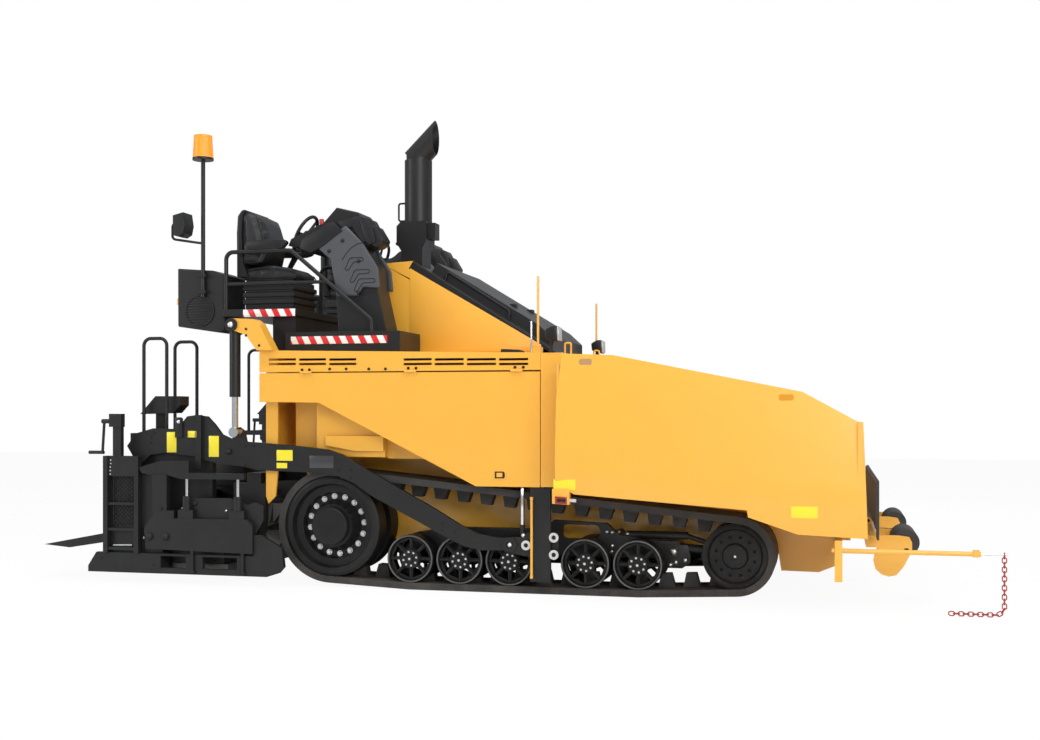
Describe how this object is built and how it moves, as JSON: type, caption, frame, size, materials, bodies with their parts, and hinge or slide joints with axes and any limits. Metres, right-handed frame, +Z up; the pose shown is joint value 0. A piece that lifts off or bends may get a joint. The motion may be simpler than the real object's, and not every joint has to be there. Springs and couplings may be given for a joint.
{
  "type": "tracked asphalt paver",
  "caption": "Tracked asphalt paver with folding hopper wings, push rollers, two operator stations, augers and an extending screed on tow arms.",
  "frame": {"origin": "on the ground below the middle of the machine's length and width", "axes": "+X forward to the push rollers, +Y to the machine's left, +Z up"},
  "size_m": [7.47, 3.32, 3.7607],
  "materials": {
    "yellow_paint": "gloss paint",
    "black_paint": "satin paint",
    "belt_rubber": "matt, dusty",
    "steel": "worn bare steel",
    "chrome_rod": "polished",
    "engine_grey": "as cast",
    "seat_cover": "black vinyl",
    "grey_plastic": "moulded",
    "black_plastic": "moulded",
    "red_links": "gloss paint",
    "amber_lens": "clear amber"
  },
  "bodies": {
    "tractor": {"main_frame": "yellow_paint", "hopper_wall": "yellow_paint", "flow_gates": "steel", "conveyors": "steel", "track_belt_right": "belt_rubber", "track_belt_left": "belt_rubber", "drive_wheels": "black_paint", "idlers": "black_paint", "bogie_wheels": "black_paint", "track_frames": "black_paint", "engine_block": "engine_grey", "engine_hood": "yellow_paint", "hood_cover": "black_paint", "upper_body": "yellow_paint", "side_tanks": "yellow_paint", "lift_brackets": "yellow_paint", "tow_guides": "black_paint", "operator_deck": "black_paint", "rear_cabinets": "black_paint", "guard_rails": "black_paint", "seat_bases": "black_paint", "seats": "seat_cover", "consoles": "grey_plastic", "console_heads": "black_paint", "steering_wheels": "black_plastic", "exhaust_stack": "black_paint", "beacon_mast": "black_paint", "beacon_lens": "amber_lens", "auger_frame": "black_paint", "guide_post": "yellow_paint", "sight_rods": "yellow_paint"},
    "door_right": {"service_door_right": "yellow_paint"},
    "door_left": {"service_door_left": "yellow_paint"},
    "wing_right": {"hopper_wing_right": "yellow_paint"},
    "wing_left": {"hopper_wing_left": "yellow_paint"},
    "apron": {"front_apron": "belt_rubber"},
    "push_beam": {"push_beam": "yellow_paint"},
    "roller_right": {"push_roller_right": "belt_rubber"},
    "roller_left": {"push_roller_left": "belt_rubber"},
    "auger_right": {"auger_right": "steel"},
    "auger_left": {"auger_left": "steel"},
    "tow_carriage": {"tow_slides": "black_paint"},
    "screed": {"tow_arms": "black_paint", "screed_frame": "black_paint", "screed_plate": "steel", "screed_rails": "black_paint"},
    "lift_barrels": {"lift_barrels": "black_paint"},
    "lift_rods": {"lift_rods": "chrome_rod"},
    "extender_right": {"extender_right": "black_paint", "end_gate_right": "black_paint", "gate_rods_right": "chrome_rod"},
    "extender_left": {"extender_left": "black_paint", "end_gate_left": "black_paint", "gate_rods_left": "chrome_rod"},
    "walkway_right": {"walkway_right": "black_paint"},
    "walkway_left": {"walkway_left": "black_paint"},
    "guide_rod": {"guide_rod": "chrome_rod", "guide_chain": "red_links"}
  },
  "joints": [
    {"name": "door_right_hinge", "type": "hinge", "parent": "tractor", "child": "door_right", "pos_m": [0, -1.3445, 1.67], "axis": [-1, 0, 0], "range_deg": [0, 80]},
    {"name": "door_left_hinge", "type": "hinge", "parent": "tractor", "child": "door_left", "pos_m": [0, 1.3445, 1.67], "axis": [1, 0, 0], "range_deg": [0, 80]},
    {"name": "wing_right_hinge", "type": "hinge", "parent": "tractor", "child": "wing_right", "pos_m": [0.69, -0.753, 0.85974], "axis": [-0.9946, 0, 0.1037], "range_deg": [0, 50]},
    {"name": "wing_left_hinge", "type": "hinge", "parent": "tractor", "child": "wing_left", "pos_m": [0.69, 0.753, 0.85974], "axis": [0.9946, 0, -0.1037], "range_deg": [0, 50]},
    {"name": "apron_hinge", "type": "hinge", "parent": "tractor", "child": "apron", "pos_m": [2.86, 0, 0.56], "axis": [0, 1, 0], "range_deg": [0, 55]},
    {"name": "push_beam_pivot", "type": "hinge", "parent": "tractor", "child": "push_beam", "pos_m": [2.78, 0, 0.47], "axis": [0, 0, 1], "range_deg": [-5, 5]},
    {"name": "roller_right_spin", "type": "hinge", "parent": "push_beam", "child": "roller_right", "pos_m": [3.11, -0.86, 0.44], "axis": [0, 1, 0], "continuous": true},
    {"name": "roller_left_spin", "type": "hinge", "parent": "push_beam", "child": "roller_left", "pos_m": [3.11, 0.86, 0.44], "axis": [0, 1, 0], "continuous": true},
    {"name": "auger_right_spin", "type": "hinge", "parent": "tractor", "child": "auger_right", "pos_m": [-1.85, -0.6, 0.42], "axis": [0, 1, 0], "continuous": true},
    {"name": "auger_left_spin", "type": "hinge", "parent": "tractor", "child": "auger_left", "pos_m": [-1.85, 0.6, 0.42], "axis": [0, 1, 0], "continuous": true},
    {"name": "tow_point_slide", "type": "slide", "parent": "tractor", "child": "tow_carriage", "axis": [0, 0, 1], "range_m": [0, 0.2]},
    {"name": "screed_lift", "type": "hinge", "parent": "tow_carriage", "child": "screed", "pos_m": [0.26, 0, 0.372], "axis": [0, 1, 0], "range_deg": [-1.1, 6.4]},
    {"name": "lift_barrel_swing", "type": "hinge", "parent": "tractor", "child": "lift_barrels", "pos_m": [-1.955, 0, 2.045], "axis": [0, 1, 0], "range_deg": [-12.5, 3]},
    {"name": "lift_rod_slide", "type": "slide", "parent": "lift_barrels", "child": "lift_rods", "axis": [0, 0, 1], "range_m": [-0.045, 0.24]},
    {"name": "extender_right_slide", "type": "slide", "parent": "screed", "child": "extender_right", "axis": [0, -1, 0], "range_m": [0, 0.98]},
    {"name": "extender_left_slide", "type": "slide", "parent": "screed", "child": "extender_left", "axis": [0, 1, 0], "range_m": [0, 0.98]},
    {"name": "walkway_right_hinge", "type": "hinge", "parent": "extender_right", "child": "walkway_right", "pos_m": [-3.155, -0.64, 0.38], "axis": [0, 1, 0], "range_deg": [0, 85]},
    {"name": "walkway_left_hinge", "type": "hinge", "parent": "extender_left", "child": "walkway_left", "pos_m": [-3.155, 0.64, 0.38], "axis": [0, 1, 0], "range_deg": [0, 85]},
    {"name": "guide_rod_slide", "type": "slide", "parent": "tractor", "child": "guide_rod", "axis": [1, 0, 0], "range_m": [-0.12, 0.25]}
  ],
  "couplings": [
    {"joint": "lift_barrel_swing", "follows": "screed_lift", "ratio": -1.653},
    {"joint": "lift_rod_slide", "follows": "screed_lift", "m_per_rad": 2.06}
  ]
}
